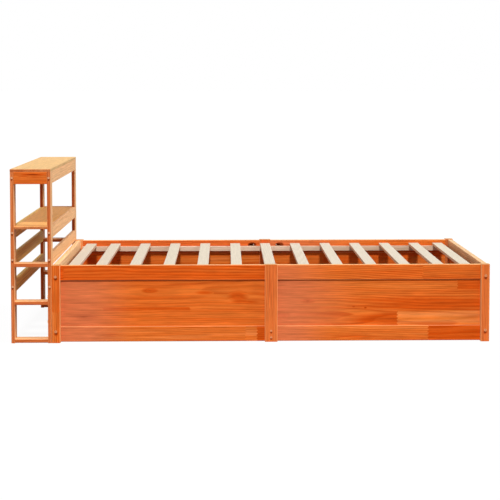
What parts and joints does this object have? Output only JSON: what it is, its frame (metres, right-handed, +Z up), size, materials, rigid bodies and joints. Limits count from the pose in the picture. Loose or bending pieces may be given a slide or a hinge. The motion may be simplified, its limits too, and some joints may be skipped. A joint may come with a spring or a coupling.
{
  "type": "bed frame with bookcase headboard",
  "caption": "Single bed frame of stained pine with framed and panelled sides, a slatted base and an open bookcase headboard standing at its head end",
  "frame": {"origin": "on the floor, under the centre of the whole footprint", "axes": "+X runs along the bed from the bookcase to the foot end, +Y points to the far long side, +Z points up"},
  "size_m": [2.255, 0.99, 0.82],
  "materials": {
    "stained_pine": "satin",
    "panel_pine": "satin",
    "light_pine": "satin",
    "bare_pine": "matte",
    "beech_dowel": "matte",
    "zinc_steel": "satin"
  },
  "bodies": {
    "root": {"top_board": "light_pine", "shelf_board": "light_pine", "rear_post_near": "stained_pine", "front_post_near": "stained_pine", "rear_post_far": "stained_pine", "front_post_far": "stained_pine", "side_apron_near": "stained_pine", "side_apron_far": "stained_pine", "lower_rung_near": "stained_pine", "middle_rung_near": "stained_pine", "upper_rung_near": "stained_pine", "lower_rung_far": "stained_pine", "middle_rung_far": "stained_pine", "upper_rung_far": "stained_pine", "front_board_top": "light_pine", "front_board_shelf": "light_pine", "front_board_middle": "light_pine", "front_board_low": "light_pine", "rear_board_top": "light_pine", "rear_board_shelf": "light_pine", "rear_board_middle": "light_pine", "rear_board_low": "light_pine", "bookcase_bolts": "zinc_steel", "bookcase_barrel_nuts": "zinc_steel", "bookcase_dowels": "beech_dowel", "joining_bolts": "zinc_steel", "head_leg_near": "stained_pine", "head_leg_far": "stained_pine", "foot_leg_near": "stained_pine", "foot_leg_far": "stained_pine", "middle_post_near": "stained_pine", "middle_post_far": "stained_pine", "top_rail_head_near": "stained_pine", "top_rail_foot_near": "stained_pine", "top_rail_head_far": "stained_pine", "top_rail_foot_far": "stained_pine", "bottom_rail_head_near": "stained_pine", "bottom_rail_foot_near": "stained_pine", "bottom_rail_head_far": "stained_pine", "bottom_rail_foot_far": "stained_pine", "side_panel_head_near": "panel_pine", "side_panel_foot_near": "panel_pine", "side_panel_head_far": "panel_pine", "side_panel_foot_far": "panel_pine", "head_end_top_rail": "light_pine", "head_end_bottom_rail": "stained_pine", "head_end_panel": "panel_pine", "foot_end_top_rail": "light_pine", "foot_end_bottom_rail": "stained_pine", "foot_end_panel": "panel_pine", "slat_ledger_near": "bare_pine", "slat_ledger_far": "bare_pine", "slats": "bare_pine", "tie_board": "stained_pine", "bed_bolts": "zinc_steel", "bed_barrel_nuts": "zinc_steel", "bed_dowels": "beech_dowel", "pocket_screws": "zinc_steel", "tie_screws": "zinc_steel", "slat_screws": "zinc_steel"}
  },
  "joints": []
}
